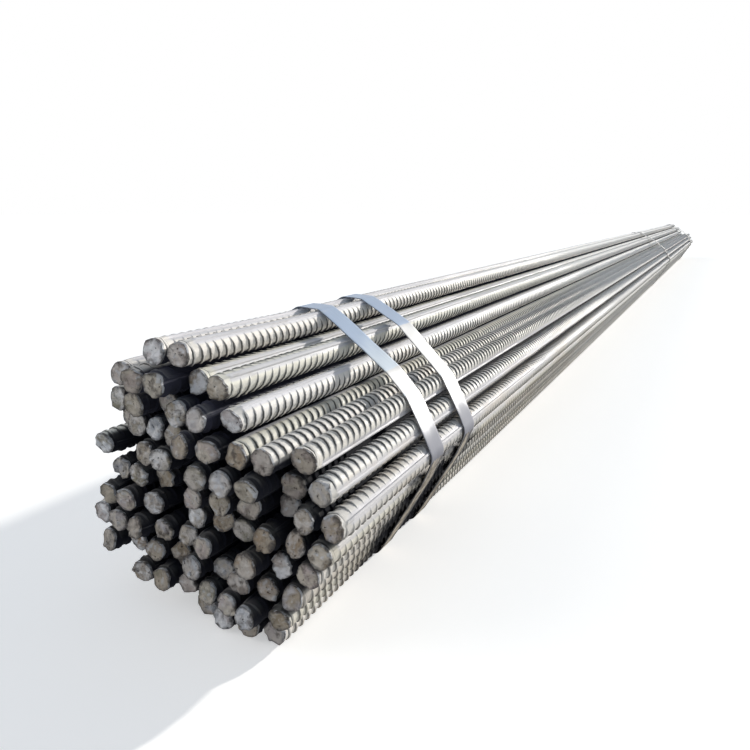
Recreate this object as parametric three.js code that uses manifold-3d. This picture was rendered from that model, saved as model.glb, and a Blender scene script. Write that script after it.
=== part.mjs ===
// A bundle of ribbed reinforcing bars, held by flat steel straps.
// Units are millimetres. +Z is up, and the bars lie along X. Their near ends are at -X.
import * as THREE from 'three';
import { mergeVertices } from 'three/addons/utils/BufferGeometryUtils.js';
import Module from 'manifold-3d';

const wasm = await Module();
wasm.setup();

// ---- Driving dimensions ----

// One bar: 25 mm nominal. Its transverse ribs are finer than this model, so each bar is
// a plain prism as wide across its flats as the real bar is over its ribs.
const bar_length = 6000;
const bar_core_diameter = 24.2;
const rib_height = 2.1;
const bar_sides = 12;

// Bars of one layer press into each other by this much, so that a layer is one solid.
const contact_depth = 0.3;
// Clear gap between one layer and the next, and between the bars and a strap.
const layer_gap = 0.36;
const strap_gap = 0.3;

// Beyond the outer straps nothing grips the bars, and they work loose from each other.
const end_side_gap = 0.75;
const end_layer_lift = 0.35;
const end_wander = 0.2;
// How far a bar lies from its slide below, at most.
const slide_wander = 3;

// Straps: hoops of flat steel. Insets are from the ends of an unslid bar, to where the
// strap's middle crosses Y = 0, and the middle strap's shift is from the middle of the bars
// to +X. The near straps are pulled out of square: for each mm to +Y, they lie this many mm
// further to +X.
const strap_width = 36;
const strap_thickness = 1;
const outer_strap_inset = 239;
const inner_strap_inset = 345;
const middle_strap_shift = 450;
const near_outer_lean = 0.22;
const near_inner_lean = 0.27;

// Layers from the top down. first_place is where the layer's leftmost bar lies, in bar
// pitches from the middle line, seen from the near end. slides says how far each bar has
// slid along the bundle, from left to right: a positive one is set back at the near end.
const layers = [
  { first_place: -1.5, slides: [0, 0] },
  { first_place: -3.1, slides: [-5, -15, -20, 10, 0] },
  { first_place: -3.5, slides: [0, -5, 10, -10, -15, -5] },
  { first_place: -4.1, slides: [30, 10, 5, 0, -20, -20, -15, -10, 5] },
  { first_place: -4.55, slides: [5, 120, 5, -5, 60, -20, -20, -20, 5, 5] },
  { first_place: -5, slides: [65, 10, 5, 15, 80, -15, -10, -5, 20, 0, 0] },
  { first_place: -4.4, slides: [0, -5, 5, 100, 5, 10, 0, -5, 0, -5] },
  { first_place: -4.95, slides: [0, -5, -10, 0, 5, -5, 120, -15, 5, 0] },
  { first_place: -4.5, slides: [-5, 10, 5, 10, -10, 5, -5, 0, 0] },
  { first_place: -3, slides: [-5, -5, 5, 0, -10, -15, -5] },
  { first_place: -1.5, slides: [70, 15, 0, 5, 5] },
];

// ---- Sizes that follow ----

const bar_width = bar_core_diameter + 2 * rib_height;
const bar_corner_radius = bar_width / 2 / Math.cos(Math.PI / bar_sides);
const bar_pitch = bar_width - contact_depth;
const half_length = bar_length / 2;
const widest_place = Math.max(...layers.map(
  ({ first_place, slides }) => Math.max(-first_place, first_place + slides.length - 1)));
const half_width = widest_place * bar_pitch + bar_width / 2;
// The bars are gripped from the outermost edge of one outer strap to that of the other.
const grip_reach = half_length - outer_strap_inset + strap_width / 2 + near_outer_lean * half_width;
const side_spread = (end_side_gap + contact_depth) / bar_pitch;
const lift_spread = end_layer_lift / bar_width;

// A fixed pseudo-random number from -1 to 1 for each bar and direction.
function scatter(layer, place, direction) {
  const wave = Math.sin(layer * 12.99 + place * 78.23 + direction * 37.72) * 43758.55;
  return 2 * (wave - Math.floor(wave)) - 1;
}

function slideOf(layer, place) {
  return layers[layer].slides[place] + slide_wander * scatter(layer, place, 0);
}

// 0 where the straps grip the bars, growing to 1 at the end of an unslid bar.
function looseness(x) {
  return Math.max(0, (Math.abs(x) - grip_reach) / (half_length - grip_reach));
}

// How high a layer lies over the lowest one. Its bars sink deepest where they lie midway
// between the bars below, and stand higher the nearer they are to the tops of those.
function layerHeight(layer) {
  if (layer === layers.length - 1) return 0;
  const shift = Math.abs(layers[layer].first_place - layers[layer + 1].first_place) % 1;
  const aside = Math.min(shift, 1 - shift) * bar_pitch;
  return Math.sqrt((bar_width + layer_gap) ** 2 - aside ** 2) + layerHeight(layer + 1);
}

// The bar's centre in the gripped stretch, as Y and Z. The lowest layer lies at Z = 0.
function seat(layer, place) {
  return new THREE.Vector2(-(layers[layer].first_place + place) * bar_pitch, layerHeight(layer));
}

// The bar's centre at station x: its seat, spread sideways and lifted where it is loose.
function centreAt(x, layer, place) {
  const { x: y, y: z } = seat(layer, place);
  const loose = looseness(x);
  const end = Math.sign(x);
  const drift = end_wander * loose * scatter(layer, place, end);
  const rise = end_wander * loose * Math.abs(scatter(layer, place, 2 * end));
  return new THREE.Vector3(
    x, y * (1 + side_spread * loose) + drift, z * (1 + lift_spread * loose) + rise);
}

function toSolid(geometry) {
  geometry.deleteAttribute('normal');
  geometry.deleteAttribute('uv');
  const merged = mergeVertices(geometry, 1e-4);
  return new wasm.Manifold(new wasm.Mesh({
    numProp: 3,
    vertProperties: merged.attributes.position.array,
    triVerts: new Uint32Array(merged.index.array),
  }));
}

function toGeometry(solid) {
  const { vertProperties, triVerts } = solid.getMesh();
  const geometry = new THREE.BufferGeometry();
  geometry.setAttribute('position', new THREE.BufferAttribute(vertProperties, 3));
  geometry.setIndex(new THREE.BufferAttribute(triVerts, 1));
  geometry.computeVertexNormals();
  return geometry;
}

// One bar: a prism with four rings of corners, two at its ends and two where the straps'
// grip begins and ends. Its flats face its neighbours on all sides.
function barSolid(layer, place) {
  const slide = slideOf(layer, place);
  const stations = [slide - half_length, -grip_reach, grip_reach, slide + half_length];
  const prism = new THREE.CylinderGeometry(
    bar_corner_radius, bar_corner_radius, stations.length - 1, bar_sides, stations.length - 1);
  prism.rotateY(Math.PI / bar_sides);
  prism.rotateZ(-Math.PI / 2);
  const corners = prism.attributes.position;
  for (let i = 0; i < corners.count; i += 1) {
    const ring = Math.round(corners.getX(i) + (stations.length - 1) / 2);
    const centre = centreAt(stations[ring], layer, place);
    corners.setXYZ(i, centre.x, centre.y + corners.getY(i), centre.z + corners.getZ(i));
  }
  return toSolid(prism);
}

function layerGeometry(layer) {
  const bars = layers[layer].slides.map((slide, place) => barSolid(layer, place));
  return toGeometry(bars.reduce((solid, bar) => solid.add(bar)));
}

// Corners of the tightest hoop round all the seats, counter-clockwise.
function hoopCorners() {
  const seats = layers.flatMap(({ slides }, layer) => slides.map((slide, place) => seat(layer, place)));
  seats.sort((a, b) => a.x - b.x || a.y - b.y);
  const turn = (a, b, c) => (b.x - a.x) * (c.y - a.y) - (b.y - a.y) * (c.x - a.x);
  const chain = (points) => {
    const kept = [];
    for (const point of points) {
      while (kept.length > 1 && turn(kept.at(-2), kept.at(-1), point) <= 1e-6) kept.pop();
      kept.push(point);
    }
    return kept.slice(0, -1);
  };
  return [...chain(seats), ...chain(seats.toReversed())];
}

// The hoop's line at a given distance from the bars' centres: an arc round each corner
// bar, and straight runs between them.
function drawHoop(path, distance) {
  const corners = hoopCorners();
  corners.forEach((corner, i) => {
    const before = corners.at(i - 1);
    const after = corners[(i + 1) % corners.length];
    const start = corner.clone().sub(before).angle() - Math.PI / 2;
    const end = after.clone().sub(corner).angle() - Math.PI / 2;
    path.absarc(corner.x, corner.y, distance, start, end, false);
  });
  return path;
}

// A hoop at X = 0 that leans to +X as it goes to +Y.
function strapGeometry(lean) {
  const inner = bar_corner_radius + strap_gap;
  const section = drawHoop(new THREE.Shape(), inner + strap_thickness);
  section.holes.push(drawHoop(new THREE.Path(), inner));
  const geometry = new THREE.ExtrudeGeometry(section, {
    depth: strap_width, bevelEnabled: false, curveSegments: 3,
  });
  // The drawing's right is Y and its up is Z, so its depth comes to lie along X.
  geometry.translate(0, 0, -strap_width / 2);
  geometry.applyMatrix4(new THREE.Matrix4().set(
    lean, 0, 1, 0,
    1, 0, 0, 0,
    0, 1, 0, 0,
    0, 0, 0, 1));
  return geometry;
}

// ---- The bundle ----

const bar_steel = new THREE.MeshStandardMaterial({ color: '#b4aea4', roughness: 0.42, metalness: 0.9 });
const strap_steel = new THREE.MeshStandardMaterial({ color: '#c3c8d2', roughness: 0.3, metalness: 0.95 });

const bundle = new THREE.Group();

layers.forEach((entry, layer) => {
  const mesh = new THREE.Mesh(layerGeometry(layer), bar_steel);
  mesh.name = `bar_layer_${String(layer + 1).padStart(2, '0')}`;
  bundle.add(mesh);
});

const straps = [
  { name: 'near_outer_strap', station: outer_strap_inset - half_length, lean: near_outer_lean },
  { name: 'near_inner_strap', station: inner_strap_inset - half_length, lean: near_inner_lean },
  { name: 'middle_strap', station: middle_strap_shift, lean: 0 },
  { name: 'far_inner_strap', station: half_length - inner_strap_inset, lean: 0 },
  { name: 'far_outer_strap', station: half_length - outer_strap_inset, lean: 0 },
];
for (const { name, station, lean } of straps) {
  const mesh = new THREE.Mesh(strapGeometry(lean), strap_steel);
  mesh.name = name;
  mesh.position.x = station;
  bundle.add(mesh);
}

// The bundle lies on its straps, with its origin at the middle of its underside.
const extent = new THREE.Box3().setFromObject(bundle, true);
const middle = extent.getCenter(new THREE.Vector3());
bundle.position.set(-middle.x, -middle.y, -extent.min.z);

export default bundle;
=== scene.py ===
# A bundle of ribbed reinforcing bars under flat steel straps, dressed for rendering.
# +Z is up, the bars lie along X and their near ends are at -X, as in the frame. Bars and
# straps are in millimetres until a mesh is made. Materials, floor and camera are in metres.
import math

import bpy
import numpy as np
from mathutils import Matrix, Vector


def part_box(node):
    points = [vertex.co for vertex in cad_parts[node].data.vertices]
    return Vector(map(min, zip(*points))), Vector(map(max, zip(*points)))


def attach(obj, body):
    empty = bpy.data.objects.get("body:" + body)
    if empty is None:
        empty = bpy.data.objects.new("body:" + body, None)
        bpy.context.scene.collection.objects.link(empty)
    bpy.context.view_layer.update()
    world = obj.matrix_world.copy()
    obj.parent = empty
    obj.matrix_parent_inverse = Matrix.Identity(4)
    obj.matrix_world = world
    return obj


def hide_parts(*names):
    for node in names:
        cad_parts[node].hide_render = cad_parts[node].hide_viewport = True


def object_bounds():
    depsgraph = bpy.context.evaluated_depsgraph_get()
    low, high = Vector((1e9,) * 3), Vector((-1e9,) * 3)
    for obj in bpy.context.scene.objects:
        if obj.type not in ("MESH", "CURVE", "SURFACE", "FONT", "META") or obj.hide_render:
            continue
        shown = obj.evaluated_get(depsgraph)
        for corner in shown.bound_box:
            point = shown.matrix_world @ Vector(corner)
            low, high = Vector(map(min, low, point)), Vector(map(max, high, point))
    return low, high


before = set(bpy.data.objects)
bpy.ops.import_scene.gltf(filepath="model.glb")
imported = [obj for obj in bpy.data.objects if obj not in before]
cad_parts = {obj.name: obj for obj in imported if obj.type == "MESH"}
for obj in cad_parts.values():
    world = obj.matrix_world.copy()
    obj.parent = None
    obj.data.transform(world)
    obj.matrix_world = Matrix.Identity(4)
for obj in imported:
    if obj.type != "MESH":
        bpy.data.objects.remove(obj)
cad_low, cad_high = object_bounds()

MM = 0.001

# ---- Layout, with the same sizes as the solids ----

BAR_LENGTH = 6000.0
BAR_CORE_DIAMETER = 24.2
RIB_HEIGHT = 2.1
CONTACT_DEPTH = 0.3
LAYER_GAP = 0.36
STRAP_GAP = 0.3
BAR_SIDES = 12
END_SIDE_GAP = 0.75
END_LAYER_LIFT = 0.35
END_WANDER = 0.2
SLIDE_WANDER = 3.0
STRAP_WIDTH = 36.0
STRAP_THICKNESS = 1.0
OUTER_STRAP_INSET = 239.0
# For each strap: how many millimetres further to +X it lies for each millimetre to +Y, how
# far it stands proud of the bars at a kink, and the kink's share of the way along its run.
STRAPS = {
    "near_outer_strap": (0.22, 4.5, 0.78),
    "near_inner_strap": (0.27, 9.0, 0.42),
    "middle_strap": (0.0, 5.5, 0.6),
    "far_inner_strap": (0.0, 5.5, 0.6),
    "far_outer_strap": (0.0, 5.5, 0.6),
}
# For each layer from the top down: its leftmost place in bar pitches, and the slides of
# its bars along the bundle.
LAYERS = [
    (-1.5, (0, 0)),
    (-3.1, (-5, -15, -20, 10, 0)),
    (-3.5, (0, -5, 10, -10, -15, -5)),
    (-4.1, (30, 10, 5, 0, -20, -20, -15, -10, 5)),
    (-4.55, (5, 120, 5, -5, 60, -20, -20, -20, 5, 5)),
    (-5, (65, 10, 5, 15, 80, -15, -10, -5, 20, 0, 0)),
    (-4.4, (0, -5, 5, 100, 5, 10, 0, -5, 0, -5)),
    (-4.95, (0, -5, -10, 0, 5, -5, 120, -15, 5, 0)),
    (-4.5, (-5, 10, 5, 10, -10, 5, -5, 0, 0)),
    (-3, (-5, -5, 5, 0, -10, -15, -5)),
    (-1.5, (70, 15, 0, 5, 5)),
]

BAR_WIDTH = BAR_CORE_DIAMETER + 2 * RIB_HEIGHT
BAR_CORNER_RADIUS = BAR_WIDTH / 2 / math.cos(math.pi / BAR_SIDES)
BAR_PITCH = BAR_WIDTH - CONTACT_DEPTH
HALF_LENGTH = BAR_LENGTH / 2
WIDEST_PLACE = max(max(-first, first + len(slides) - 1) for first, slides in LAYERS)
HALF_WIDTH = WIDEST_PLACE * BAR_PITCH + BAR_WIDTH / 2
# The straps grip the bars as far as this from the middle. Past it the bars work loose.
GRIP_REACH = (
    HALF_LENGTH - OUTER_STRAP_INSET + STRAP_WIDTH / 2
    + STRAPS["near_outer_strap"][0] * HALF_WIDTH)
SIDE_SPREAD = (END_SIDE_GAP + CONTACT_DEPTH) / BAR_PITCH
LIFT_SPREAD = END_LAYER_LIFT / BAR_WIDTH


def scatter(layer, place, direction):
    """A fixed pseudo-random number from -1 to 1 for each bar and direction."""
    wave = math.sin(layer * 12.99 + place * 78.23 + direction * 37.72) * 43758.55
    return 2 * (wave - math.floor(wave)) - 1


def slide_of(layer, place):
    """How far the bar has slid to +X."""
    return LAYERS[layer][1][place] + SLIDE_WANDER * scatter(layer, place, 0)


def layer_height(layer):
    """How high the layer lies over the lowest one."""
    if layer == len(LAYERS) - 1:
        return 0.0
    shift = abs(LAYERS[layer][0] - LAYERS[layer + 1][0]) % 1
    aside = min(shift, 1 - shift) * BAR_PITCH
    return math.sqrt((BAR_WIDTH + LAYER_GAP) ** 2 - aside ** 2) + layer_height(layer + 1)


def seat(layer, place):
    """Y and Z of the bar's centre line where the straps grip it."""
    return -(LAYERS[layer][0] + place) * BAR_PITCH, layer_height(layer)


def centre_at(x, layer, place):
    """Y and Z of the bar's centre line at each station of the array x."""
    y, z = seat(layer, place)
    loose = np.maximum(0, (np.abs(x) - GRIP_REACH) / (HALF_LENGTH - GRIP_REACH))
    near_y, far_y = (END_WANDER * scatter(layer, place, end) for end in (-1, 1))
    near_z, far_z = (END_WANDER * abs(scatter(layer, place, 2 * end)) for end in (-1, 1))
    drift = np.where(x < 0, near_y, far_y) * loose
    rise = np.where(x < 0, near_z, far_z) * loose
    return y * (1 + SIDE_SPREAD * loose) + drift, z * (1 + LIFT_SPREAD * loose) + rise


BARS = [(layer, place) for layer in range(len(LAYERS)) for place in range(len(LAYERS[layer][1]))]
SEATS = np.array([seat(*bar) for bar in BARS])


def frame_shift():
    """How far the layout's own origin lies from the frame's."""
    low_x = min(slide_of(*bar) for bar in BARS) - HALF_LENGTH
    low_y = []
    for bar in BARS:
        ends = slide_of(*bar) + np.array([-HALF_LENGTH, HALF_LENGTH])
        centre_y, _ = centre_at(ends, *bar)
        low_y.extend(centre_y - BAR_WIDTH / 2)
    underside = -(BAR_CORNER_RADIUS + STRAP_GAP + STRAP_THICKNESS)
    return np.array(cad_low) / MM - np.array([low_x, min(low_y), underside])


SHIFT = frame_shift()

# ---- Ribbed bars ----

CORE_RADIUS = BAR_CORE_DIAMETER / 2
# Transverse ribs: how high they stand and how far apart, half the width of a full crest, and
# how far a flank runs out, at least and then for each millimetre of its height.
CREST_HEIGHT = 1.85
RIB_PITCH = 11.2
RIB_TOP = 0.7
LEAST_FLANK = 0.35
RIB_FLANK = 0.8
# Below 1, a rib reaches its height sooner on its way round the bar.
RISE_POWER = 0.85
# The spines are the two longitudinal ribs. Their feet and the edges of their tops lie this
# many degrees from their middle.
SPINE_HEIGHT = 1.5
SPINE_FOOT = 9.0
SPINE_TOP = 4.5
# The transverse ribs run out into a smooth band this far from the spine, in degrees.
BAND_EDGE = 16.0
# Columns of points round the bar in degrees, from one spine to the other.
FLANK_ANGLES = [
    SPINE_FOOT, BAND_EDGE, 34, 56, 78, 102, 124, 146, 180 - BAND_EDGE, 180 - SPINE_FOOT]
HALF_COLUMNS = [SPINE_TOP, *FLANK_ANGLES, 180 - SPINE_TOP]
COLUMNS = np.array([half + angle for half in (0, 180) for angle in HALF_COLUMNS])
# The columns that are enough far from the near end, and on bars that are out of sight.
SPARSE_ANGLES = [SPINE_TOP, SPINE_FOOT, 34, 78, 102, 146, 180 - SPINE_FOOT]
SPARSE = np.isin(COLUMNS % 180, SPARSE_ANGLES)
# Ribs are cut with four rows each as far as this from the near end, then with three.
FINE_REACH = 620.0
# Columns out of sight have points only on rings, and a ring comes once in this many ribs.
BLOCK = 16
# At the near and the far end, this many ribs keep all their columns, out of sight too.
WHOLE_NEAR = 7
WHOLE_FAR = 3
# The ribs begin and end at least this far from the bar's ends.
END_MARGIN = 3.6
# The ribs turn square to the bar over this much of its length towards each end.
SLANT_REACH = 45
# No row comes nearer to the next than this where a sheared end pushes them together.
ROW_GAP = 0.3
# Where the spine of a bar that shows well points, in degrees from +Y towards +Z. The other
# bars are turned at random.
ROLLS = {
    (0, 0): 108, (0, 1): 116, (1, 4): 130, (2, 5): 112, (1, 3): 126, (3, 8): 30, (3, 7): 32,
    (3, 6): 60, (4, 9): 6, (4, 8): 45, (5, 10): 152, (5, 9): 110, (6, 9): 148, (7, 9): 97,
    (8, 8): 135, (9, 6): 100, (10, 4): 110,
}
BAR_SEED = 25


def column_profile():
    """For each column: which half it is in, its angle there, how far its transverse ribs
    rise, and how far its spine does."""
    half = (COLUMNS >= 180).astype(float)
    angle = np.radians(COLUMNS % 180)
    between = (COLUMNS % 180 >= SPINE_FOOT) & (COLUMNS % 180 <= 180 - SPINE_FOOT)
    edge = math.sin(math.radians(BAND_EDGE))
    rise = CREST_HEIGHT * np.maximum(0, (np.sin(angle) - edge) / (1 - edge)) ** RISE_POWER
    spine = np.where(between, 0, SPINE_HEIGHT)
    return half, angle, rise, spine


HALF, ANGLE, RISE, SPINE = column_profile()

# Looks out of the bundle, as turns from the way that a column faces. Each starts this far off
# the bar's core, and passes another bar that it would only graze by this much.
LOOKS = np.radians(np.arange(-80, 81, 10))
LOOK_START = 0.5
LOOK_GRAZE = 0.4
# With this many looks that lead out, a column is seen, and with this many it is fully lit.
SEEN_LOOKS = 3
LIT_LOOKS = 8
# A bar that has slid out at the far end begins to be lit all round this far past the end of
# an unslid one, and is fully lit this much further on.
LIT_PAST = 12
LIT_OVER = 15


def openness(bar, roll):
    """For each column, how many looks lead from it out of the bundle, past the other bars
    and not down to the floor."""
    here = SEATS[BARS.index(bar)]
    others = np.delete(SEATS, BARS.index(bar), axis=0)
    turn = np.radians(COLUMNS) + roll
    way = turn[:, None] + LOOKS
    start = here + (CORE_RADIUS + LOOK_START) * np.stack([np.cos(turn), np.sin(turn)], 1)
    ray = np.stack([np.cos(way), np.sin(way)], 2)
    gap = others[None, :, :] - start[:, None, :]
    ahead = np.einsum("cli,coi->clo", ray, gap)
    ray_y, ray_z = ray[:, :, None, 0], ray[:, :, None, 1]
    gap_y, gap_z = gap[:, None, :, 0], gap[:, None, :, 1]
    aside = np.abs(ray_y * gap_z - ray_z * gap_y)
    blocked = ((ahead > 0) & (aside < BAR_WIDTH / 2 - LOOK_GRAZE)).any(2)
    return (~blocked & (ray[:, :, 1] > 0)).sum(1)


def plan_sections(count, seen):
    """Stretches of a bar with count ribs, as (first rib, past the last, rows per rib, kept,
    dense). Kept columns have a point on each ring, and dense ones on every row."""
    everywhere = np.ones(len(COLUMNS), bool)
    last = count - WHOLE_FAR
    near_end = (0, WHOLE_NEAR, 4, everywhere, everywhere)
    far_end = (last, count, 4, everywhere, everywhere)
    if not seen.any():
        return [near_end, (WHOLE_NEAR, last, 0, SPARSE, ~everywhere), far_end]
    fine = int(FINE_REACH / RIB_PITCH)
    return [
        near_end,
        (WHOLE_NEAR, fine, 4, everywhere, seen),
        (fine, last, 3, SPARSE, seen & SPARSE),
        far_end,
    ]


# The rows of one rib: the side of its middle that each is on, and 1 for those on its crest.
# Where ribs are left out, there is one row on the core at the start of each block.
ROWS_PER_RIB = {
    4: [(-1, 0), (-1, 1), (1, 1), (1, 0)],
    3: [(-1, 0), (0, 1), (1, 0)],
    0: [(-1, 0)],
}


def lay_rows(plans):
    """Rows of the ribbed stretch as (ribs, sides, levels), and for each plan the rows where
    it keeps a ring."""
    rows = []
    rings = []
    for start, end, per_rib, _, _ in plans:
        rings.append([])
        for index in range(start, end):
            starts_block = (index - start) % BLOCK == 0
            if starts_block:
                rings[-1].append(len(rows))
            if starts_block or per_rib > 0:
                rows.extend((index, side, level) for side, level in ROWS_PER_RIB[per_rib])
    return np.array(rows).T, rings


class Grid:
    """Faces between rows and columns of a bar's skin. A corner is row * span + column, and
    the last column is the first one again."""

    def __init__(self):
        self.span = len(COLUMNS) + 1
        self.quads = []
        self.triangles = []

    def code(self, row, column):
        return np.asarray(row) * self.span + column

    def add_quads(self, rows, next_rows, left, right):
        code = self.code
        self.quads.append(np.stack([
            code(rows, left), code(rows, right), code(next_rows, right), code(next_rows, left)], 1))

    def add_triangles(self, first, second, third):
        self.triangles.append(np.stack(np.broadcast_arrays(first, second, third), 1))

    def fan(self, start, end, left, right, left_dense):
        """A block whose one side has every row and whose other side has only two."""
        code = self.code
        middle = (start + end) // 2
        low, high = np.arange(start, middle), np.arange(middle, end)
        if left_dense:
            self.add_triangles(code(low, left), code(start, right), code(low + 1, left))
            self.add_triangles([code(middle, left)], code(start, right), code(end, right))
            self.add_triangles(code(high, left), code(end, right), code(high + 1, left))
        else:
            self.add_triangles(code(low, right), code(low + 1, right), code(start, left))
            self.add_triangles([code(start, left)], code(middle, right), code(end, left))
            self.add_triangles(code(high, right), code(high + 1, right), code(end, left))

    def widen(self, full, thin, left, right):
        """Faces between a row with every column and one with only the kept ones."""
        code = self.code
        steps = np.arange(left, right + 1)
        if full < thin:
            self.add_triangles(code(full, steps[:-1]), code(full, steps[1:]), code(thin, left))
            self.add_triangles([code(full, right)], code(thin, right), code(thin, left))
        else:
            self.add_triangles(code(thin, left), code(full, steps[1:]), code(full, steps[:-1]))
            self.add_triangles([code(thin, left)], code(thin, right), code(full, right))

    def section(self, rings, kept, dense):
        """Faces of one stretch, with a point on each ring for every kept column. A stretch
        that doesn't keep them all has all of them on its first and last ring."""
        columns = np.flatnonzero(kept)
        every = kept.all()
        inner = rings if every else rings[1:-1]
        for left, right in zip(columns, [*columns[1:], columns[0] + len(COLUMNS)]):
            left_dense, right_dense = dense[left], dense[right % len(COLUMNS)]
            if left_dense and right_dense:
                rows = np.arange(inner[0], inner[-1])
                self.add_quads(rows, rows + 1, left, right)
            elif left_dense or right_dense:
                for start, end in zip(inner[:-1], inner[1:]):
                    self.fan(start, end, left, right, left_dense)
            else:
                self.add_quads(np.array(inner[:-1]), np.array(inner[1:]), left, right)
            if not every:
                self.widen(rings[0], rings[1], left, right)
                self.widen(rings[-1], rings[-2], left, right)

    def ends(self, row_count):
        """Faces of the sheared ends, and between them and the ribbed stretch."""
        last = row_count - 1
        for rows in (np.arange(1, END_ROWS), np.arange(last - END_ROWS, last - 1)):
            for column in range(len(COLUMNS)):
                self.add_quads(rows, rows + 1, column, column + 1)
        code = self.code
        columns = np.arange(len(COLUMNS))
        self.add_triangles(code(0, columns), code(1, columns + 1), code(1, columns))
        self.add_triangles(
            code(last - 1, columns), code(last - 1, columns + 1), code(last, columns))


# No sheared end reaches further from its bar's centre line than this.
END_RADIUS = 13.9
# The way that most ends were pushed by the shear, from +Y towards +Z.
SHEAR_WAY = math.radians(160)
# A flat ends where the cosine of the angle from its middle has fallen to this.
FLAT_EDGE = 0.3
# How wide a torn lip is, in radians to either side.
LIP_REACH = 0.25
# A face's edge rolls over from this far on, by this much for each square millimetre.
ROLLED_PAST = 7
ROLLED_RATE = 0.08
# How deep the waves of a face's rough skin are.
SKIN_WAVES = (0.6, 0.45, 0.35, 0.25)
# Rings of a sheared face, as shares of its outline, and then the rows round its rim, with how
# far each of those lies behind the edge of the face.
CAP_RINGS = [0.0, 0.22, 0.42, 0.6, 0.77, 0.9]
RIM_SHARES = [0.97, 1.0, 1.0]
RIM_DEPTHS = [0.0, 0.7, 2.2]
END_SHARES = np.array([*CAP_RINGS, *RIM_SHARES])[:, None]
END_ROWS = len(END_SHARES)
# No part of a sheared face lies further behind its foremost point than this.
DEEPEST = 4.8
# A bar's outline turns from that of its sheared end to its own over this much of its length.
BLEND_REACH = 10.0


def reach_along(way, y, z):
    """How far points lie in one way, which is an angle from +Y towards +Z."""
    return y * math.cos(way) + z * math.sin(way)


def end_outline(roll, dice):
    """A sheared end's outline, as a radius for each column: a round, squashed mostly the way
    that the shear pushed, with a few flats and a lip where the shear tore through."""
    turn = np.radians(COLUMNS)
    size = CORE_RADIUS * dice.uniform(0.99, 1.08)
    squash = dice.uniform(0.0, 0.24)
    pushed = SHEAR_WAY + dice.uniform(-0.7, 0.7)
    radius = size * (1 - squash * np.cos(turn + roll - pushed) ** 2)
    flat_count = dice.integers(4, 8)
    for _ in range(flat_count):
        facing = np.cos(turn - dice.uniform(0, math.tau))
        flat = size * dice.uniform(0.8, 0.97) / np.maximum(facing, FLAT_EDGE)
        radius = np.where(facing > FLAT_EDGE, np.minimum(radius, flat), radius)
    lip_place = dice.uniform(0, math.tau)
    lip_height = dice.uniform(0, 1.6)
    away = (turn - lip_place + math.pi) % math.tau - math.pi
    radius += lip_height * np.exp(-(away / LIP_REACH) ** 2)
    unevenness = dice.uniform(-0.2, 0.2, len(COLUMNS))
    return np.minimum(radius + unevenness, END_RADIUS)


def end_relief(y, z, dice):
    """How far a sheared end's face lies behind its foremost point: a slope, mostly the way
    that the shear pushed, a torn step, a rolled edge and a rough skin."""
    pushed = reach_along(SHEAR_WAY + dice.uniform(-1.3, 1.3), y, z)
    slope = math.tan(math.radians(dice.uniform(1, 11)))
    tear_way = math.tau * dice.uniform()
    past_tear = reach_along(tear_way, y, z) - dice.uniform(-8, 8)
    step_depth = dice.uniform(0.2, 2.6)
    step_width = dice.uniform(0.3, 1.2)
    depth = slope * pushed + step_depth / (1 + np.exp(-past_tear / step_width))
    depth = depth + ROLLED_RATE * np.maximum(0, pushed - ROLLED_PAST) ** 2
    for size in SKIN_WAVES:
        wave_way = math.tau * dice.uniform()
        wave = reach_along(wave_way, y, z) * dice.uniform(0.3, 0.8) / size ** 0.5
        depth = depth + size * np.sin(wave + math.tau * dice.uniform())
    return depth


def end_rows(bar, roll, end, dice):
    """One sheared end: points of its rows from its middle to where the ribs begin, its
    outline, and how far its rim reaches along the bar."""
    outline = end_outline(roll, dice)
    turn = np.radians(COLUMNS) + roll
    y = END_SHARES * outline * np.cos(turn)
    z = END_SHARES * outline * np.sin(turn)
    depth = end_relief(y, z, dice)
    edge = len(CAP_RINGS)
    depth = np.minimum(depth - depth[:edge + 1].min(), DEEPEST)
    depth[edge:] = depth[edge] + np.array(RIM_DEPTHS)[:, None]
    x = slide_of(*bar) + end * (HALF_LENGTH - depth)
    centre_y, centre_z = centre_at(x, *bar)
    return np.stack([x, centre_y + y, centre_z + z], 2), outline, depth[-1]


def skin_faces(plans, rings, row_count):
    """Faces of one bar, which of its points they use, and a number for each of its corners."""
    grid = Grid()
    present = np.zeros((row_count, len(COLUMNS)), bool)
    present[:END_ROWS] = True
    present[-END_ROWS:] = True
    ends = [following[0] + END_ROWS for following in rings[1:]] + [row_count - END_ROWS - 1]
    for (_, _, _, kept, dense), own_rings, end in zip(plans, rings, ends):
        own_rings = {row + END_ROWS for row in own_rings}
        if not kept.all():
            own_rings.add(min(own_rings) + 1)
            own_rings = {row for row in own_rings if row < end - 1}
            own_rings.add(end - 1)
        own_rings = sorted(own_rings | {end})
        first, last = own_rings[0], own_rings[-1]
        present[own_rings] |= kept
        present[[first, last]] = True
        present[first:last + 1] |= dense
        grid.section(own_rings, kept, dense)
    grid.ends(row_count)

    # The middle of each end is a single point.
    tips = [0, -1]
    present[tips, 1:] = False
    number = np.cumsum(present.ravel()).reshape(present.shape) - 1
    number[tips] = number[tips, :1]
    return grid, present, np.concatenate([number, number[:, :1]], 1)


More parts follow.
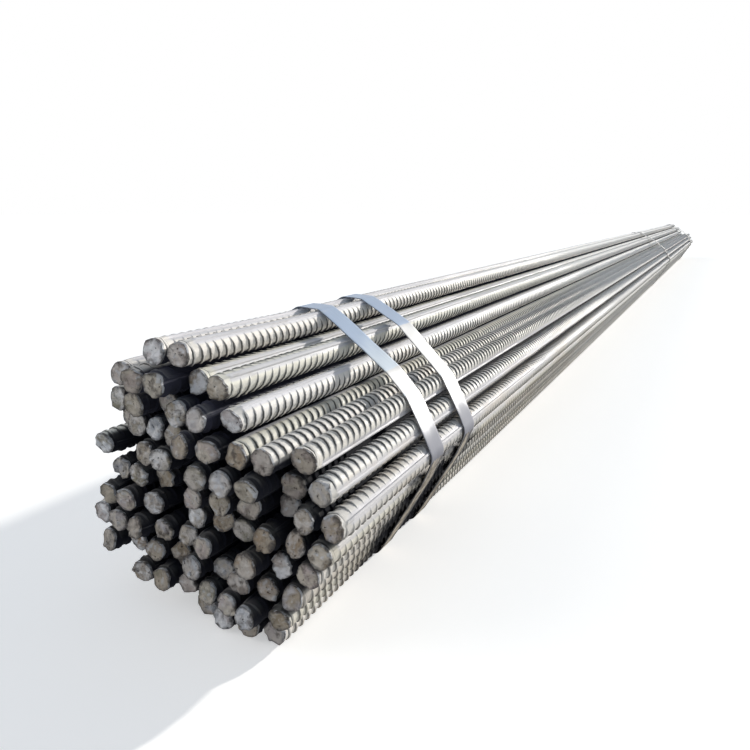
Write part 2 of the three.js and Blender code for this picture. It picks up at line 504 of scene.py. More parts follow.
def bar_skin(bar):
    """One ribbed bar: points, values for the finish, rings to crease, faces, and a number for
    each of their corners."""
    dice = np.random.default_rng([*bar, BAR_SEED])
    roll = dice.uniform(0, math.tau)
    if bar in ROLLS:
        roll = math.radians(ROLLS[bar])
    looks_out = openness(bar, roll)
    seen = looks_out >= SEEN_LOOKS
    seen |= np.roll(seen, 1) | np.roll(seen, -1)
    first = END_MARGIN + dice.uniform(0, 3)
    count = int((BAR_LENGTH - first - END_MARGIN) / RIB_PITCH)
    slant = dice.uniform(0.1, 0.42) * dice.choice([-1, 1])
    stagger = dice.uniform(-0.5, 0.5) * RIB_PITCH
    near, near_outline, near_rim = end_rows(bar, roll, -1, dice)
    far, far_outline, far_rim = end_rows(bar, roll, 1, dice)
    plans = plan_sections(count, seen)
    (rib, side, level), rings = lay_rows(plans)

    centre = first + (rib + 0.5) * RIB_PITCH
    slanted = np.minimum(1, np.minimum(centre, BAR_LENGTH - centre) / SLANT_REACH)
    lean = slant * CORE_RADIUS * (ANGLE - math.pi / 2) * np.where(HALF > 0, -1, 1)
    offset = slanted[:, None] * (lean + HALF * stagger)
    on_crest = level[:, None] > 0
    top = RIB_TOP * (0.5 + 0.5 * RISE / CREST_HEIGHT)
    reach = np.where(on_crest, top, top + LEAST_FLANK + RIB_FLANK * RISE)
    along = centre[:, None] + offset + side[:, None] * reach
    # No row comes nearer the end than the rim of the sheared face.
    row_order = np.arange(len(rib))[:, None]
    along = np.maximum(along, near_rim + ROW_GAP * (1 + row_order))
    along = np.minimum(along, BAR_LENGTH - far_rim - ROW_GAP * (len(rib) - row_order))

    climb = np.where(on_crest, RISE, 0)
    from_end = np.minimum(along - near_rim, BAR_LENGTH - far_rim - along)
    share = np.clip(from_end / BLEND_REACH, 0, 1)
    share = share * share * (3 - 2 * share)
    outline = np.where(along < HALF_LENGTH, near_outline, far_outline)
    radius = (CORE_RADIUS + SPINE + climb) * share + outline * (1 - share)
    turn = np.radians(COLUMNS) + roll
    x = slide_of(*bar) - HALF_LENGTH + along
    centre_y, centre_z = centre_at(x, *bar)
    body = np.stack([x, centre_y + radius * np.cos(turn), centre_z + radius * np.sin(turn)], 2)
    points = np.concatenate([near, body, far[::-1]])
    grid, present, number = skin_faces(plans, rings, len(points))

    plain = np.zeros(near.shape[:2])
    face = np.broadcast_to(END_SHARES, plain.shape)
    beat = (along - first - offset) / RIB_PITCH
    light = np.clip(looks_out / LIT_LOOKS, 0, 1)
    light = (light + np.roll(light, 1) + np.roll(light, -1)) / 3
    sticking_out = np.clip((points[..., 0] - HALF_LENGTH - LIT_PAST) / LIT_OVER, 0, 1)
    everywhere = np.ones(points.shape[:2])
    values = {
        "relief": np.concatenate([face, climb / CREST_HEIGHT * share, face[::-1]]),
        "band": np.concatenate([plain, (1 - RISE / CREST_HEIGHT) * share, plain]),
        "open": np.maximum(light, sticking_out),
        "beat": np.concatenate([plain, beat, plain]),
        "bar_hue": dice.uniform(0, 1) * everywhere,
        "bar_tone": dice.uniform(0, 1) * everywhere,
    }
    values = {key: numbers[present] for key, numbers in values.items()}
    ring = np.nonzero(present)[0]
    ring[(ring < END_ROWS) | (ring >= len(points) - END_ROWS)] = -1
    return points[present], values, ring, grid, number


def build_mesh(name, points, corners, sizes, materials, values):
    """A mesh from flat arrays: points in the layout's millimetres, the faces' corners in one
    row, and for each face its number of corners and its material."""
    mesh = bpy.data.meshes.new(name)
    mesh.vertices.add(len(points))
    mesh.vertices.foreach_set("co", ((points + SHIFT) * MM).astype(np.float32).ravel())
    mesh.loops.add(len(corners))
    mesh.loops.foreach_set("vertex_index", corners.astype(np.int32))
    mesh.polygons.add(len(sizes))
    starts = np.concatenate([[0], np.cumsum(sizes)[:-1]])
    mesh.polygons.foreach_set("loop_start", starts.astype(np.int32))
    mesh.polygons.foreach_set("material_index", materials.astype(np.int32))
    mesh.polygons.foreach_set("use_smooth", np.ones(len(sizes), bool))
    for key, numbers in values.items():
        layer = mesh.attributes.new(key, "FLOAT", "POINT")
        layer.data.foreach_set("value", numbers.astype(np.float32))
    mesh.update(calc_edges=True)
    mesh.validate()
    return mesh


# Faces that meet at a smaller angle than this shade as one smooth surface.
SHARP_ANGLE = math.radians(38)


def crease_rings(mesh, ring):
    """Creases the edges that run round a bar, so that its ribs and its core shade apart.
    ring says which row each point is in, or is -1 where there's nothing to crease."""
    corners = np.empty(len(mesh.edges) * 2, np.int32)
    mesh.edges.foreach_get("vertices", corners)
    one, other = ring[corners.reshape(-1, 2)].T
    layer = mesh.attributes["sharp_edge"]
    sharp = np.empty(len(mesh.edges), bool)
    layer.data.foreach_get("value", sharp)
    layer.data.foreach_set("value", sharp | ((one == other) & (one >= 0)))


def dress(name, mesh, materials, ring=None):
    """Puts the mesh in the scene in place of the solid of the same name."""
    piece = bpy.data.objects.new(f"{name}_dressed", mesh)
    bpy.context.scene.collection.objects.link(piece)
    for material in materials:
        mesh.materials.append(material)
    mesh.set_sharp_from_angle(angle=SHARP_ANGLE)
    if ring is not None:
        crease_rings(mesh, ring)
    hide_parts(name)
    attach(piece, "root")


def dress_layer(layer, materials):
    """One layer's bars as one piece. The materials are those of their sides and ends."""
    points, values, rings, corners, sizes, slots = [], [], [], [], [], []
    offset = 0
    for place in range(len(LAYERS[layer][1])):
        bar_points, bar_values, ring, grid, number = bar_skin((layer, place))
        far_end = len(number) - END_ROWS
        for faces in (np.concatenate(grid.quads), np.concatenate(grid.triangles)):
            rows, columns = faces // grid.span, faces % grid.span
            corners.append((number[rows, columns] + offset).ravel())
            sizes.append(np.full(len(faces), faces.shape[1]))
            slots.append((rows.max(1) < END_ROWS) | (rows.min(1) >= far_end))
        points.append(bar_points)
        values.append(bar_values)
        rings.append(ring)
        offset += len(bar_points)
    name = f"bar_layer_{layer + 1:02d}"
    mesh = build_mesh(
        name, np.concatenate(points), np.concatenate(corners), np.concatenate(sizes),
        np.concatenate(slots),
        {key: np.concatenate([part[key] for part in values]) for key in values[0]})
    dress(name, mesh, materials, np.concatenate(rings))


# ---- Materials ----

# A Mix node's sockets for its two colours, and the one that gives the mixed colour.
MIX_FIRST, MIX_SECOND, MIX_RESULT = 6, 7, 2


class Nodes:
    """Short ways to write the nodes of a material or a world."""

    def __init__(self, owner, shader):
        owner.use_nodes = True
        self.owner = owner
        self.tree = owner.node_tree
        self.shader = self.tree.nodes[shader]

    def node(self, kind, **settings):
        node = self.tree.nodes.new(kind)
        for key, value in settings.items():
            setattr(node, key, value)
        return node

    def feed(self, node, sources):
        """Feeds sockets of a node, each from a number, a colour or another node's output."""
        for socket, source in sources.items():
            target = node.inputs[socket]
            if isinstance(source, (int, float)):
                target.default_value = source
            elif isinstance(source, tuple):
                target.default_value = (*source, 1.0)
            else:
                self.tree.links.new(source, target)

    def attribute(self, name):
        return self.node("ShaderNodeAttribute", attribute_name=name).outputs["Fac"]

    def place(self, scale):
        """Object coordinates in metres, stretched by scale along X, Y and Z."""
        mapping = self.node("ShaderNodeMapping")
        mapping.inputs["Scale"].default_value = scale
        self.feed(mapping, {"Vector": self.node("ShaderNodeTexCoord").outputs["Object"]})
        return mapping.outputs["Vector"]

    def split(self, vector, axis):
        parts = self.node("ShaderNodeSeparateXYZ")
        self.feed(parts, {0: vector})
        return parts.outputs[axis]

    def level(self, axis):
        """How far along X, Y or Z a point lies, in metres."""
        return self.split(self.place((1, 1, 1)), axis)

    def normal(self, axis):
        """X, Y or Z of the way that the surface faces."""
        return self.split(self.node("ShaderNodeNewGeometry").outputs["Normal"], axis)

    def noise(self, scale, detail=4.0, roughness=0.55, distortion=0.0):
        node = self.node("ShaderNodeTexNoise")
        self.feed(node, {
            "Vector": self.place(scale), "Scale": 1.0, "Detail": detail,
            "Roughness": roughness, "Distortion": distortion})
        return node.outputs["Fac"]

    def maths(self, operation, first, second=0.0, clamp=False):
        node = self.node("ShaderNodeMath", operation=operation, use_clamp=clamp)
        self.feed(node, {0: first, 1: second})
        return node.outputs[0]

    def product(self, first, *others):
        for other in others:
            first = self.maths("MULTIPLY", first, other)
        return first

    def remap(self, value, start, end, at_start=0.0, at_end=1.0):
        """Goes smoothly from at_start to at_end as the value goes from start to end."""
        node = self.node("ShaderNodeMapRange", interpolation_type="SMOOTHSTEP")
        self.feed(node, {0: value, 1: start, 2: end, 3: at_start, 4: at_end})
        return node.outputs[0]

    def mix(self, share, first, second, blend="MIX"):
        """The first colour where share is 0, and the second where it is 1."""
        node = self.node("ShaderNodeMix", data_type="RGBA", blend_type=blend)
        self.feed(node, {0: share, MIX_FIRST: first, MIX_SECOND: second})
        return node.outputs[MIX_RESULT]

    def ramp(self, value, *stops):
        node = self.node("ShaderNodeValToRGB")
        elements = node.color_ramp.elements
        while len(elements) < len(stops):
            elements.new(0.5)
        for element, (position, colour) in zip(elements, stops):
            element.position = position
            element.color = (*colour, 1.0)
        self.feed(node, {0: value})
        return node.outputs[0]

    def bump(self, height, strength, distance):
        node = self.node("ShaderNodeBump")
        self.feed(node, {"Height": height, "Strength": strength, "Distance": distance})
        self.feed(self.shader, {"Normal": node.outputs["Normal"]})

    def finish(self, colour, metallic, roughness):
        self.feed(self.shader, {"Base Color": colour, "Metallic": metallic, "Roughness": roughness})
        return self.owner


def material_nodes(name):
    return Nodes(bpy.data.materials.new(name), "Principled BSDF")


# A painted shadow of the near straps lies low down on the bars' -Y side: for each of its borders,
# where it begins to show and where it is full, in metres along X, Z and Y.
STRAP_SHADOW_START = (-2.95, -2.86)
STRAP_SHADOW_END = (-2.65, -2.72)
STRAP_SHADOW_TOP = (0.138, 0.11)
STRAP_SHADOW_SIDE = (-0.02, -0.07)


def bar_side_material():
    """Hot-rolled skin: dull cream where it rubs, lilac-grey on the smooth bands, with dark
    scale along the feet of the ribs. That scale is partly painted shade: heavier on the side
    of the near end, which faces away from the key lamp, and wider where the bars lie in
    shade. Painted shade makes the skin near black wherever other bars lie close, but a dark
    lilac between the topmost ones. The lower bars have less scale and a thin bloom of rust,
    and a near-black painted shadow on their -Y side round the near straps. Far along, where
    ribs can't be told apart, the skin is paler and duller, with less scale.
    The beat value counts the ribs along a bar, and lies halfway between two whole numbers on
    a rib. The band value is 1 on the smooth bands, and open is 1 where a point is fully lit."""
    cream = (
        (0.0, (0.83, 0.79, 0.68)), (0.35, (0.86, 0.84, 0.76)),
        (0.65, (0.86, 0.81, 0.75)), (1.0, (0.83, 0.81, 0.77)))
    grey = (0.58, 0.58, 0.58)
    umber = (0.36, 0.33, 0.28)
    rust = (0.72, 0.62, 0.50)
    chalk = (0.95, 0.93, 0.90)
    pale_lilac = (0.75, 0.74, 0.78)
    dark_lilac = (0.59, 0.585, 0.62)
    scale_and_shade_black = (0.035, 0.036, 0.036)
    strap_shadow_black = (0.012, 0.012, 0.016)
    deep_gap_shade = (0.007, 0.008, 0.014)
    top_gap_shade = (0.035, 0.036, 0.055)

    m = material_nodes("bar_side")
    beat, band = m.attribute("beat"), m.attribute("band")
    rise = m.maths("SUBTRACT", 1.0, band)
    streaks = m.noise((5, 150, 150), detail=6, roughness=0.6)
    blotches = m.noise((26, 70, 70), detail=6, roughness=0.65)
    warm = m.ramp(m.attribute("bar_hue"), *cream)
    colour = m.mix(m.remap(streaks, 0.42, 0.72, 0, 0.4), warm, grey)
    lilac = m.mix(m.remap(streaks, 0.4, 0.62), pale_lilac, dark_lilac)
    colour = m.mix(m.remap(band, 0.6, 0.98, 0, 0.75), colour, lilac)
    colour = m.mix(m.remap(blotches, 0.55, 0.76, 0, 0.4), colour, umber)

    spread = m.remap(blotches, 0.35, 0.65, -0.016, 0.016)
    height = m.maths("ADD", m.level("Z"), spread)
    low = m.remap(height, 0.20, 0.14)
    bloom = m.product(low, m.remap(m.noise((8, 50, 50), detail=5), 0.42, 0.64, 0.06, 0.5))
    colour = m.mix(bloom, colour, rust)
    far_on = m.remap(beat, 50, 170)
    colour = m.mix(m.product(far_on, 0.8), colour, chalk)

    # Scale lies from a rib's flank to past its foot. Painted shade adds to it: more on the side of
    # the near end, away from the key lamp, and a wider band where the bars lie in shade.
    from_rib = m.maths("SUBTRACT", m.maths("FRACT", beat), 0.5)
    off_rib = m.maths("ABSOLUTE", from_rib)
    ragged = m.maths("ADD", off_rib, m.remap(blotches, 0.3, 0.7, -0.03, 0.03))
    past_top = m.maths("SUBTRACT", ragged, m.product(rise, 0.05))
    # Painted shade: how dark a point is made by the bars about it, from how few looks lead out.
    painted_shade = m.remap(m.attribute("open"), 0.14, 0.62, 1.0, 0.0)
    foot = m.product(rise, m.remap(painted_shade, 0, 0.7, 0.19, 0.36))
    past_foot = m.maths("SUBTRACT", ragged, foot)
    scale_and_shade_share = m.product(
        m.remap(past_top, 0.03, 0.08),
        m.remap(past_foot, 0.07, 0.0),
        m.remap(rise, 0.25, 0.9),
        m.remap(from_rib, -0.03, 0.03, 0.92, 0.35),
        m.remap(far_on, 0, 1, 1.0, 0.15),
        m.remap(low, 0, 1, 1.0, 0.72))
    colour = m.mix(scale_and_shade_share, colour, scale_and_shade_black)
    tone = m.remap(m.attribute("bar_tone"), 0, 1, 0.88, 1.06)
    colour = m.mix(1.0, colour, tone, "MULTIPLY")

    # Next to the near ends, light from above reaches a little further into the gaps, so the painted
    # shade there is lighter where the skin faces up.
    collar = m.product(m.remap(beat, 1.5, 0.1, 0, 0.16), m.remap(m.normal("Z"), 0.1, 0.9))
    painted_shade = m.maths("SUBTRACT", painted_shade, collar, clamp=True)
    # Painted shade in the gaps: near black low down, dark lilac between the topmost bars.
    gap = m.mix(m.remap(height, 0.19, 0.23), deep_gap_shade, top_gap_shade)
    colour = m.mix(painted_shade, colour, gap)
    along = m.maths("ADD", m.level("X"), spread)
    # Painted shadow of the near straps: near black low on the -Y side of the bars about them.
    strap_shadow = m.product(
        m.remap(along, *STRAP_SHADOW_START), m.remap(along, *STRAP_SHADOW_END),
        m.remap(height, *STRAP_SHADOW_TOP), m.remap(m.level("Y"), *STRAP_SHADOW_SIDE))
    colour = m.mix(strap_shadow, colour, strap_shadow_black)

    painted_shade = m.maths("MAXIMUM", painted_shade, strap_shadow)
    dark = m.maths("MAXIMUM", scale_and_shade_share, painted_shade)
    grime = m.noise((40, 240, 240), detail=5)
    dull = m.maths("MAXIMUM", m.remap(painted_shade, 0, 1, 0, 0.95), m.remap(far_on, 0, 1, 0, 0.92))
    roughness = m.maths("MAXIMUM", m.remap(grime, 0.3, 0.75, 0.56, 0.74), dull)
    m.feed(m.shader, {"Specular IOR Level": 0.26})
    m.bump(m.noise((300, 900, 900), detail=6, roughness=0.7), 0.35, 0.0004)
    return m.finish(colour, m.remap(dark, 0, 0.8, 0.1, 0.0), roughness)


def bar_end_material():
    """Sheared end: dull mottled metal with brown, olive and lilac stains, pale and dark
    smudges, a dark rim, a few pits, and a pale highlight painted where it faces up and towards -Y.
    The relief value runs from 0 in the middle of the face to 1 at its rim."""
    plain = (
        (0.0, (0.36, 0.30, 0.23)), (0.3, (0.56, 0.51, 0.44)), (0.55, (0.47, 0.43, 0.40)),
        (0.8, (0.68, 0.64, 0.61)), (1.0, (0.82, 0.83, 0.86)))
    stained = (
        (0.0, (0.35, 0.26, 0.18)), (0.35, (0.28, 0.26, 0.20)),
        (0.7, (0.50, 0.42, 0.40)), (1.0, (0.48, 0.50, 0.54)))
    pale_smudge = (0.82, 0.80, 0.78)
    dark_smudge = (0.075, 0.06, 0.05)
    pit_black = (0.03, 0.022, 0.018)
    rim_black = (0.03, 0.028, 0.03)
    painted_highlight_pale = (0.74, 0.76, 0.80)

    m = material_nodes("bar_end")
    patches = m.noise((62, 62, 62), detail=5, roughness=0.6, distortion=0.5)
    pale = m.noise((130, 120, 180), detail=6, roughness=0.65, distortion=1.1)
    smudge = m.noise((75, 85, 65), detail=5, roughness=0.6, distortion=0.4)
    pits = m.noise((260, 260, 260), detail=3)
    grain = m.noise((450, 430, 800), detail=6, roughness=0.7)
    base = m.ramp(m.attribute("bar_tone"), *plain)
    stain = m.ramp(m.attribute("bar_hue"), *stained)
    colour = m.mix(m.remap(patches, 0.40, 0.66), base, stain)
    colour = m.mix(m.remap(pale, 0.50, 0.80, 0, 0.6), colour, pale_smudge)
    colour = m.mix(m.remap(smudge, 0.52, 0.68, 0, 0.8), colour, dark_smudge)
    colour = m.mix(m.remap(pits, 0.64, 0.72, 0, 0.9), colour, pit_black)
    ragged = m.maths("ADD", m.attribute("relief"), m.remap(pale, 0.3, 0.7, -0.12, 0.12))
    colour = m.mix(m.remap(ragged, 0.70, 1.04, 0, 0.8), colour, rim_black)
    # Painted highlight: paler where the face turns up and towards -Y, towards the key lamp.
    skyward = m.remap(m.maths("SUBTRACT", m.normal("Z"), m.normal("Y")), 0.3, 0.8)
    painted_highlight = m.product(skyward, m.remap(smudge, 0.56, 0.46, 0, 0.6))
    colour = m.mix(painted_highlight, colour, painted_highlight_pale)
    height = m.maths("ADD", m.product(grain, 0.4), m.product(pale, 1.3))
    height = m.maths("ADD", height, m.product(patches, 1.6))
    height = m.maths("SUBTRACT", height, m.remap(pits, 0.62, 0.72, 0, 1.0))
    m.bump(height, 0.9, 0.0022)
    return m.finish(colour, 0.25, m.remap(patches, 0.3, 0.7, 0.5, 0.72))


bar_finishes = [bar_side_material(), bar_end_material()]
for layer_index in range(len(LAYERS)):
    dress_layer(layer_index, bar_finishes)

# ---- Straps ----

# A strap that runs free for longer than this stands proud of the bars, most at a kink.
LONG_RUN = 100.0
# Steps along a hoop: degrees on an arc, the least steps that it has, and then millimetres.
ARC_STEP = 5
LEAST_ARC = 3
RUN_STEP = 5
# A strap comes free of the bars over this much of a run.
FREE_OVER = 14
# On corner bars at least this high over the lowest ones, a strap lies this close to the ribs.
# On the lowest ones it lies as far out as in the solids, so that it reaches the floor.
TIGHT_HEIGHT = 60
TIGHT_GAP = 0.2
# A strap wanders this far to either side, and is as much narrower than the solid there.
STRAP_WANDER = 0.8
WANDERS_PER_HOOP = 2
# How far a strap that runs free stands off the bars, and its edges beyond that.
STAND_OFF = 0.35
EDGE_CURL = 0.18
# How soon that dies away as the strap turns to face the floor, where it lies flat.
CALM_BELOW = 1.2
# A strap's ripples: how high, how long over a radian, and how twisted across it.
RIPPLES = ((0.22, 23, 0.6), (0.15, 11, -1.1), (0.1, 6, 2.0))
# A strap's section, as shares of half its width and of its thickness.
STRAP_TOP = (-0.975, -0.8, -0.5, -0.17, 0.17, 0.5, 0.8, 0.975)
STRAP_UNDERSIDE = (0.975, 0.0, -0.975)
STRAP_SECTION = np.array([
    (-1.0, 0.3), (-1.0, 0.7),
    *((across, 1.0) for across in STRAP_TOP),
    (1.0, 0.7), (1.0, 0.3),
    *((across, 0.0) for across in STRAP_UNDERSIDE)])


def hoop_corners():
    """Seats that the hoops are drawn round, counter-clockwise."""
    order = SEATS[np.lexsort((SEATS[:, 1], SEATS[:, 0]))]

    def chain(points):
        kept = []
        for point in points:
            while len(kept) > 1:
                run, rise = kept[-1] - kept[-2], point - kept[-2]
                if run[0] * rise[1] - run[1] * rise[0] > 1e-6:
                    break
                kept.pop()
            kept.append(point)
        return kept[:-1]

    return np.array(chain(order) + chain(order[::-1]))


def heading(start, end):
    """The outward direction of a straight run, as an angle from +Y towards +Z."""
    run = end - start
    return math.atan2(run[1], run[0]) - math.pi / 2


def corner_distance(corner):
    """How far out a strap lies from the middle of a corner bar."""
    loose = BAR_CORNER_RADIUS + STRAP_GAP
    tight = BAR_WIDTH / 2 + TIGHT_GAP
    return loose + (tight - loose) * min(1.0, corner[1] / TIGHT_HEIGHT)


def hoop_path(most_proud, kink):
    """Points along a hoop, from a lowest bar on: place, outward direction, how free of the
    bars it is, and how far up it faces."""
    corners = hoop_corners()
    corners = np.roll(corners, -np.argmin(corners[:, 1]), axis=0)
    path = []
    for before, corner, after in zip(np.roll(corners, 1, 0), corners, np.roll(corners, -1, 0)):
        arrival, departure = heading(before, corner), heading(corner, after)
        sweep = (departure - arrival) % math.tau
        arc = max(LEAST_ARC, round(math.degrees(sweep) / ARC_STEP))
        for k in range(arc + 1):
            facing = arrival + sweep * k / arc
            out = np.array([math.cos(facing), math.sin(facing)])
            path.append((*(corner + corner_distance(corner) * out), *out, 0.0, out[1]))
        out = np.array([math.cos(departure), math.sin(departure)])
        begin = corner + corner_distance(corner) * out
        finish = after + corner_distance(after) * out
        run = np.linalg.norm(finish - begin)
        bow = most_proud if run > LONG_RUN and out[1] > 0 else 0.0
        for k in range(1, int(run / RUN_STEP)):
            share = k * RUN_STEP / run
            free = min(1.0, min(share, 1 - share) * run / FREE_OVER)
            before_kink = share < kink
            rise = bow * (share / kink if before_kink else (1 - share) / (1 - kink))
            tilt = math.atan(bow / run / (kink if before_kink else kink - 1))
            spot = begin + (finish - begin) * share + rise * out
            path.append((*spot, *out, free, math.sin(departure - tilt)))
    return np.array(path)


def dress_strap(name, material):
    """A formed strip with rounded edges, drawn tight round the corner bars and slightly
    rippled where it runs free."""
    lean, most_proud, kink = STRAPS[name]
    # A seed of its own for each strap.
    dice = np.random.default_rng(len(name) * 7 + list(STRAPS).index(name))
    path = hoop_path(most_proud, kink)
    place, out, free, facing = path[:, :2], path[:, 2:4], path[:, 4], path[:, 5]
    gaps = np.linalg.norm(np.diff(place, axis=0, append=place[:1]), axis=1)
    along = np.concatenate([[0], np.cumsum(gaps)[:-1]])
    across, height = STRAP_SECTION.T
    wave = sum(
        size * np.sin(along[:, None] / length + across * twist + math.tau * dice.uniform())
        for size, length, twist in RIPPLES)
    free_to_rise = free * np.clip(1 + CALM_BELOW * out[:, 1], 0, 1)
    lift = free_to_rise[:, None] * (STAND_OFF + wave + EDGE_CURL * across ** 4)
    rise = height * STRAP_THICKNESS + np.maximum(lift, 0)
    low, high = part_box(name)
    edges = lean * np.array([place[:, 0].min(), place[:, 0].max()])
    station = (low.x + high.x) / 2 / MM - SHIFT[0] - edges.mean()
    turns = along / gaps.sum() * math.tau
    wander = STRAP_WANDER * np.sin(turns * WANDERS_PER_HOOP + math.tau * dice.uniform())
    sideways = lean * place[:, 0] + wander
    x = station + across * (STRAP_WIDTH / 2 - STRAP_WANDER) + sideways[:, None]
    y = place[:, :1] + rise * out[:, :1]
    z = place[:, 1:] + rise * out[:, 1:]
    rows, columns = x.shape
    row, column = np.meshgrid(np.arange(rows), np.arange(columns), indexing="ij")
    next_row, next_column = (row + 1) % rows, (column + 1) % columns
    faces = np.stack([
        row * columns + column, next_row * columns + column,
        next_row * columns + next_column, row * columns + next_column], 2).reshape(-1, 4)
    values = {
        "along": np.repeat(along, columns) * MM,
        "across": np.tile(across, rows),
        "facing": np.repeat(facing, columns),
    }
    mesh = build_mesh(
        name, np.stack([x, y, z], 2).reshape(-1, 3), faces.ravel(), np.full(len(faces), 4),
        np.zeros(len(faces)), values)
    dress(name, mesh, [material])


def strap_material():
    """Smooth steel strapping, lightly scratched along its length. Its light and shade are painted
    by
    the way it faces: a blue-grey sky reflection where it faces up, a highlight on the slopes and
    lilac-grey shade on the sides. Low down it is duller and darker, with painted shade, and
    underneath worn and stained. From the middle strap on, painted shade makes all but the top near
    black.
    The along value is in metres along the strap, across runs from -1 to 1 from edge to edge,
    and facing is 1 where it faces up and -1 where it faces down."""
    # lilac, bright and the blues are painted shade, a painted highlight and a painted sky
    # reflection.
    lilac = (0.22, 0.215, 0.27)
    bright = (0.57, 0.57, 0.57)
    sky_reflection_blue = (0.37, 0.46, 0.60)
    pale_sky_reflection = (0.55, 0.62, 0.69)
    low_shade_grey = (0.29, 0.29, 0.33)
    low_shade_dark = (0.06, 0.06, 0.08)
    far_top = (0.34, 0.33, 0.32)
    far_side_shade = (0.03, 0.03, 0.035)
    scratch_grey = (0.34, 0.36, 0.42)
    stains = ((0.4, (0.10, 0.075, 0.05)), (0.58, (0.48, 0.42, 0.34)))
    edge_dark = (0.10, 0.10, 0.11)
    worn_edge = (0.02, 0.02, 0.02)

    m = material_nodes("strap")
    along, across, facing = m.attribute("along"), m.attribute("across"), m.attribute("facing")
    lengthwise = m.node("ShaderNodeCombineXYZ")
    m.feed(lengthwise, {"X": m.product(along, 14.0), "Y": m.product(across, 5.0)})
    scratch = m.node("ShaderNodeTexNoise")
    m.feed(scratch, {"Vector": lengthwise.outputs["Vector"], "Scale": 1.6, "Detail": 6.0})
    scratches = scratch.outputs["Fac"]
    broad = m.noise((30, 16, 16), detail=3)

    up = m.maths("ADD", facing, m.remap(broad, 0.3, 0.7, -0.02, 0.02))
    height = m.maths("ADD", m.level("Z"), m.remap(broad, 0.3, 0.7, -0.004, 0.004))
    # Painted light by facing: lilac-grey shade on the sides, a highlight on the slopes, a blue-grey
    # sky reflection on the top.
    colour = m.mix(m.remap(up, 0.30, 0.52), lilac, bright)
    blue = m.mix(m.remap(height, 0.262, 0.24), sky_reflection_blue, pale_sky_reflection)
    colour = m.mix(m.remap(up, 0.79, 0.85), colour, blue)
    # Painted shade low down: a darker grey, then near black towards the floor. The strap is also
    # duller there.
    shaded_and_dull = m.remap(height, 0.20, 0.155)
    colour = m.mix(shaded_and_dull, colour, low_shade_grey)
    colour = m.mix(m.remap(height, 0.16, 0.115, 0, 0.85), colour, low_shade_dark)
    # Painted shade on the straps from the middle one on: near black but where they face up.
    far_on = m.remap(m.level("X"), -1.0, 0.3)
    far_shade_colour = m.mix(m.remap(up, 0.80, 0.66), far_top, far_side_shade)
    colour = m.mix(m.product(far_on, 0.85), colour, far_shade_colour)
    colour = m.mix(m.remap(scratches, 0.48, 0.78, 0, 0.3), colour, scratch_grey)

    down = m.maths("ADD", facing, m.remap(scratches, 0.3, 0.7, -0.12, 0.12))
    worn = m.remap(down, -0.28, -0.36)
    colour = m.mix(worn, colour, m.ramp(m.noise((90, 90, 90), detail=5), *stains))
    worn_width = m.product(worn, m.remap(broad, 0.35, 0.65, 0.2, 0.6))
    edge_start = m.maths("SUBTRACT", 0.93, worn_width)
    past_edge = m.remap(m.maths("SUBTRACT", m.maths("ABSOLUTE", across), edge_start), 0.0, 0.07)
    colour = m.mix(m.product(past_edge, 0.7), colour, edge_dark)
    colour = m.mix(m.product(worn, past_edge), colour, worn_edge)

    shaded_and_dull = m.maths("MAXIMUM", worn, m.maths("MAXIMUM", shaded_and_dull, far_on))
    sheen = m.remap(scratches, 0.3, 0.75, 0.4, 0.55)
    roughness = m.maths("MAXIMUM", sheen, m.remap(shaded_and_dull, 0, 1, 0, 0.75))
    m.bump(scratches, 0.08, 0.0005)
    return m.finish(colour, m.remap(shaded_and_dull, 0, 1, 0.35, 0.1), roughness)


strap_finish = strap_material()
for strap_name in STRAPS:
    dress_strap(strap_name, strap_finish)

# ---- Studio ----

# The floor's colour where it shows, what it reflects onto the bundle, and its own glow where
# it shows.
FLOOR_COLOUR = (0.93, 0.91, 0.88)
FLOOR_BOUNCE = (0.74, 0.71, 0.66)
FLOOR_GLOW = 0.45
FLOOR_REACH = 60.0
AMBIENT = 0.27
SKY_COLOUR = (0.60, 0.77, 1.0)
BACKDROP_COLOUR = (1.0, 1.0, 1.0)


def on_show(m):
    """1 for rays that show the backdrop: straight from the camera, mirrored or through glass."""
    path = m.node("ShaderNodeLightPath")
    seen = m.maths("MAXIMUM", path.outputs["Is Camera Ray"], path.outputs["Is Glossy Ray"])
    return m.maths("MAXIMUM", seen, path.outputs["Is Transmission Ray"])


def make_floor():
    mesh = bpy.data.meshes.new("floor")
    r = FLOOR_REACH
    mesh.from_pydata([(-r, -r, 0), (r, -r, 0), (r, r, 0), (-r, r, 0)], [], [(0, 1, 2, 3)])
    floor = bpy.data.objects.new("floor", mesh)
    bpy.context.scene.collection.objects.link(floor)
    m = material_nodes("floor")
    show = on_show(m)
    m.feed(m.shader, {"Specular IOR Level": 0.0, "Emission Color": (1.0, 1.0, 1.0)})
    m.feed(m.shader, {"Emission Strength": m.product(show, FLOOR_GLOW)})
    mesh.materials.append(m.finish(m.mix(show, FLOOR_BOUNCE, FLOOR_COLOUR), 0.0, 1.0))


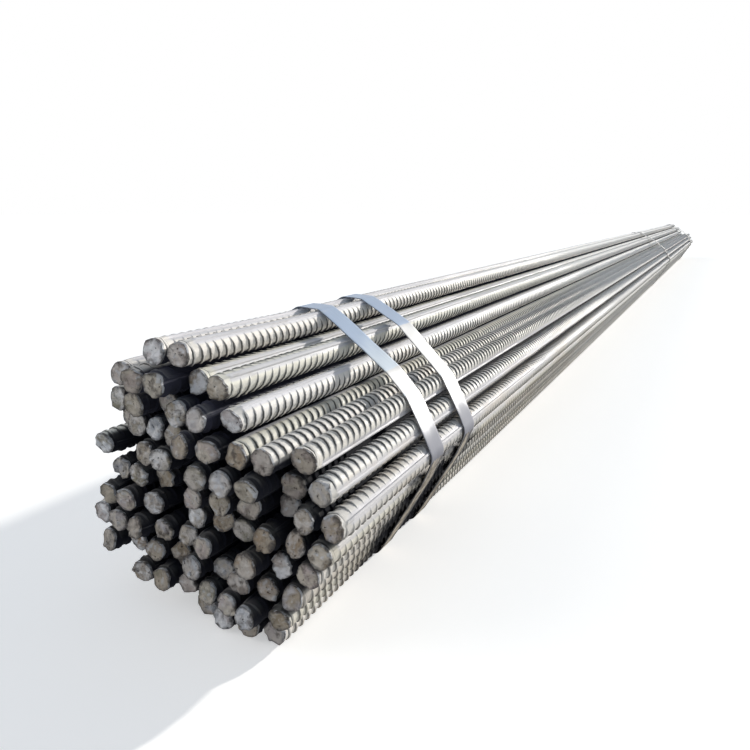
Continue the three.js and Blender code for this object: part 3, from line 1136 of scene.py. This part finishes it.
def make_world():
    world = bpy.data.worlds.new("studio")
    bpy.context.scene.world = world
    m = Nodes(world, "Background")
    show = on_show(m)
    strength = m.maths("ADD", AMBIENT, m.product(show, 1 - AMBIENT))
    m.feed(m.shader, {"Color": m.mix(show, SKY_COLOUR, BACKDROP_COLOUR), "Strength": strength})


def make_lamp(name, to_light, energy, spread, colour):
    """Light from a far-off source in one direction, spread over an angle in degrees."""
    lamp = bpy.data.lights.new(name, "SUN")
    lamp.energy = energy
    lamp.angle = math.radians(spread)
    lamp.color = colour
    sun = bpy.data.objects.new(name, lamp)
    sun.rotation_euler = Vector(to_light).to_track_quat("Z", "Y").to_euler()
    bpy.context.scene.collection.objects.link(sun)


# The camera's place in metres, the way that it looks, and its focal length in pixels of the
# photograph, all fitted to the photograph.
CAMERA_PLACE = Vector((-3.460, -0.407, 0.4036))
CAMERA_LOOK = Vector((0.8539, 0.4575, -0.2482))
FOCAL_PIXELS = 640
PHOTO_PIXELS = 750
SENSOR_WIDTH = 36.0


def make_camera():
    camera_data = bpy.data.cameras.new("camera")
    camera_data.lens = SENSOR_WIDTH * FOCAL_PIXELS / PHOTO_PIXELS
    camera_data.sensor_width = SENSOR_WIDTH
    camera_data.clip_end = 200.0
    camera = bpy.data.objects.new("camera", camera_data)
    backward = -CAMERA_LOOK.normalized()
    right = Vector((0, 0, 1)).cross(backward).normalized()
    up = backward.cross(right)
    turned = Matrix((right, up, backward)).transposed().to_4x4()
    camera.matrix_world = Matrix.Translation(CAMERA_PLACE) @ turned
    bpy.context.scene.collection.objects.link(camera)
    bpy.context.scene.camera = camera


make_floor()
make_world()
make_lamp("key", to_light=(0.90, -0.32, 0.27), energy=4.05, spread=2.0, colour=(1.0, 0.975, 0.92))
make_lamp("fill", to_light=(-0.5, 0.75, 0.45), energy=0.9, spread=40, colour=(1.0, 0.97, 0.93))
make_lamp("side", to_light=(0.2, -0.93, 0.12), energy=0.3, spread=40, colour=(1.0, 0.98, 0.96))
make_camera()
bpy.context.scene.view_settings.view_transform = "Standard"
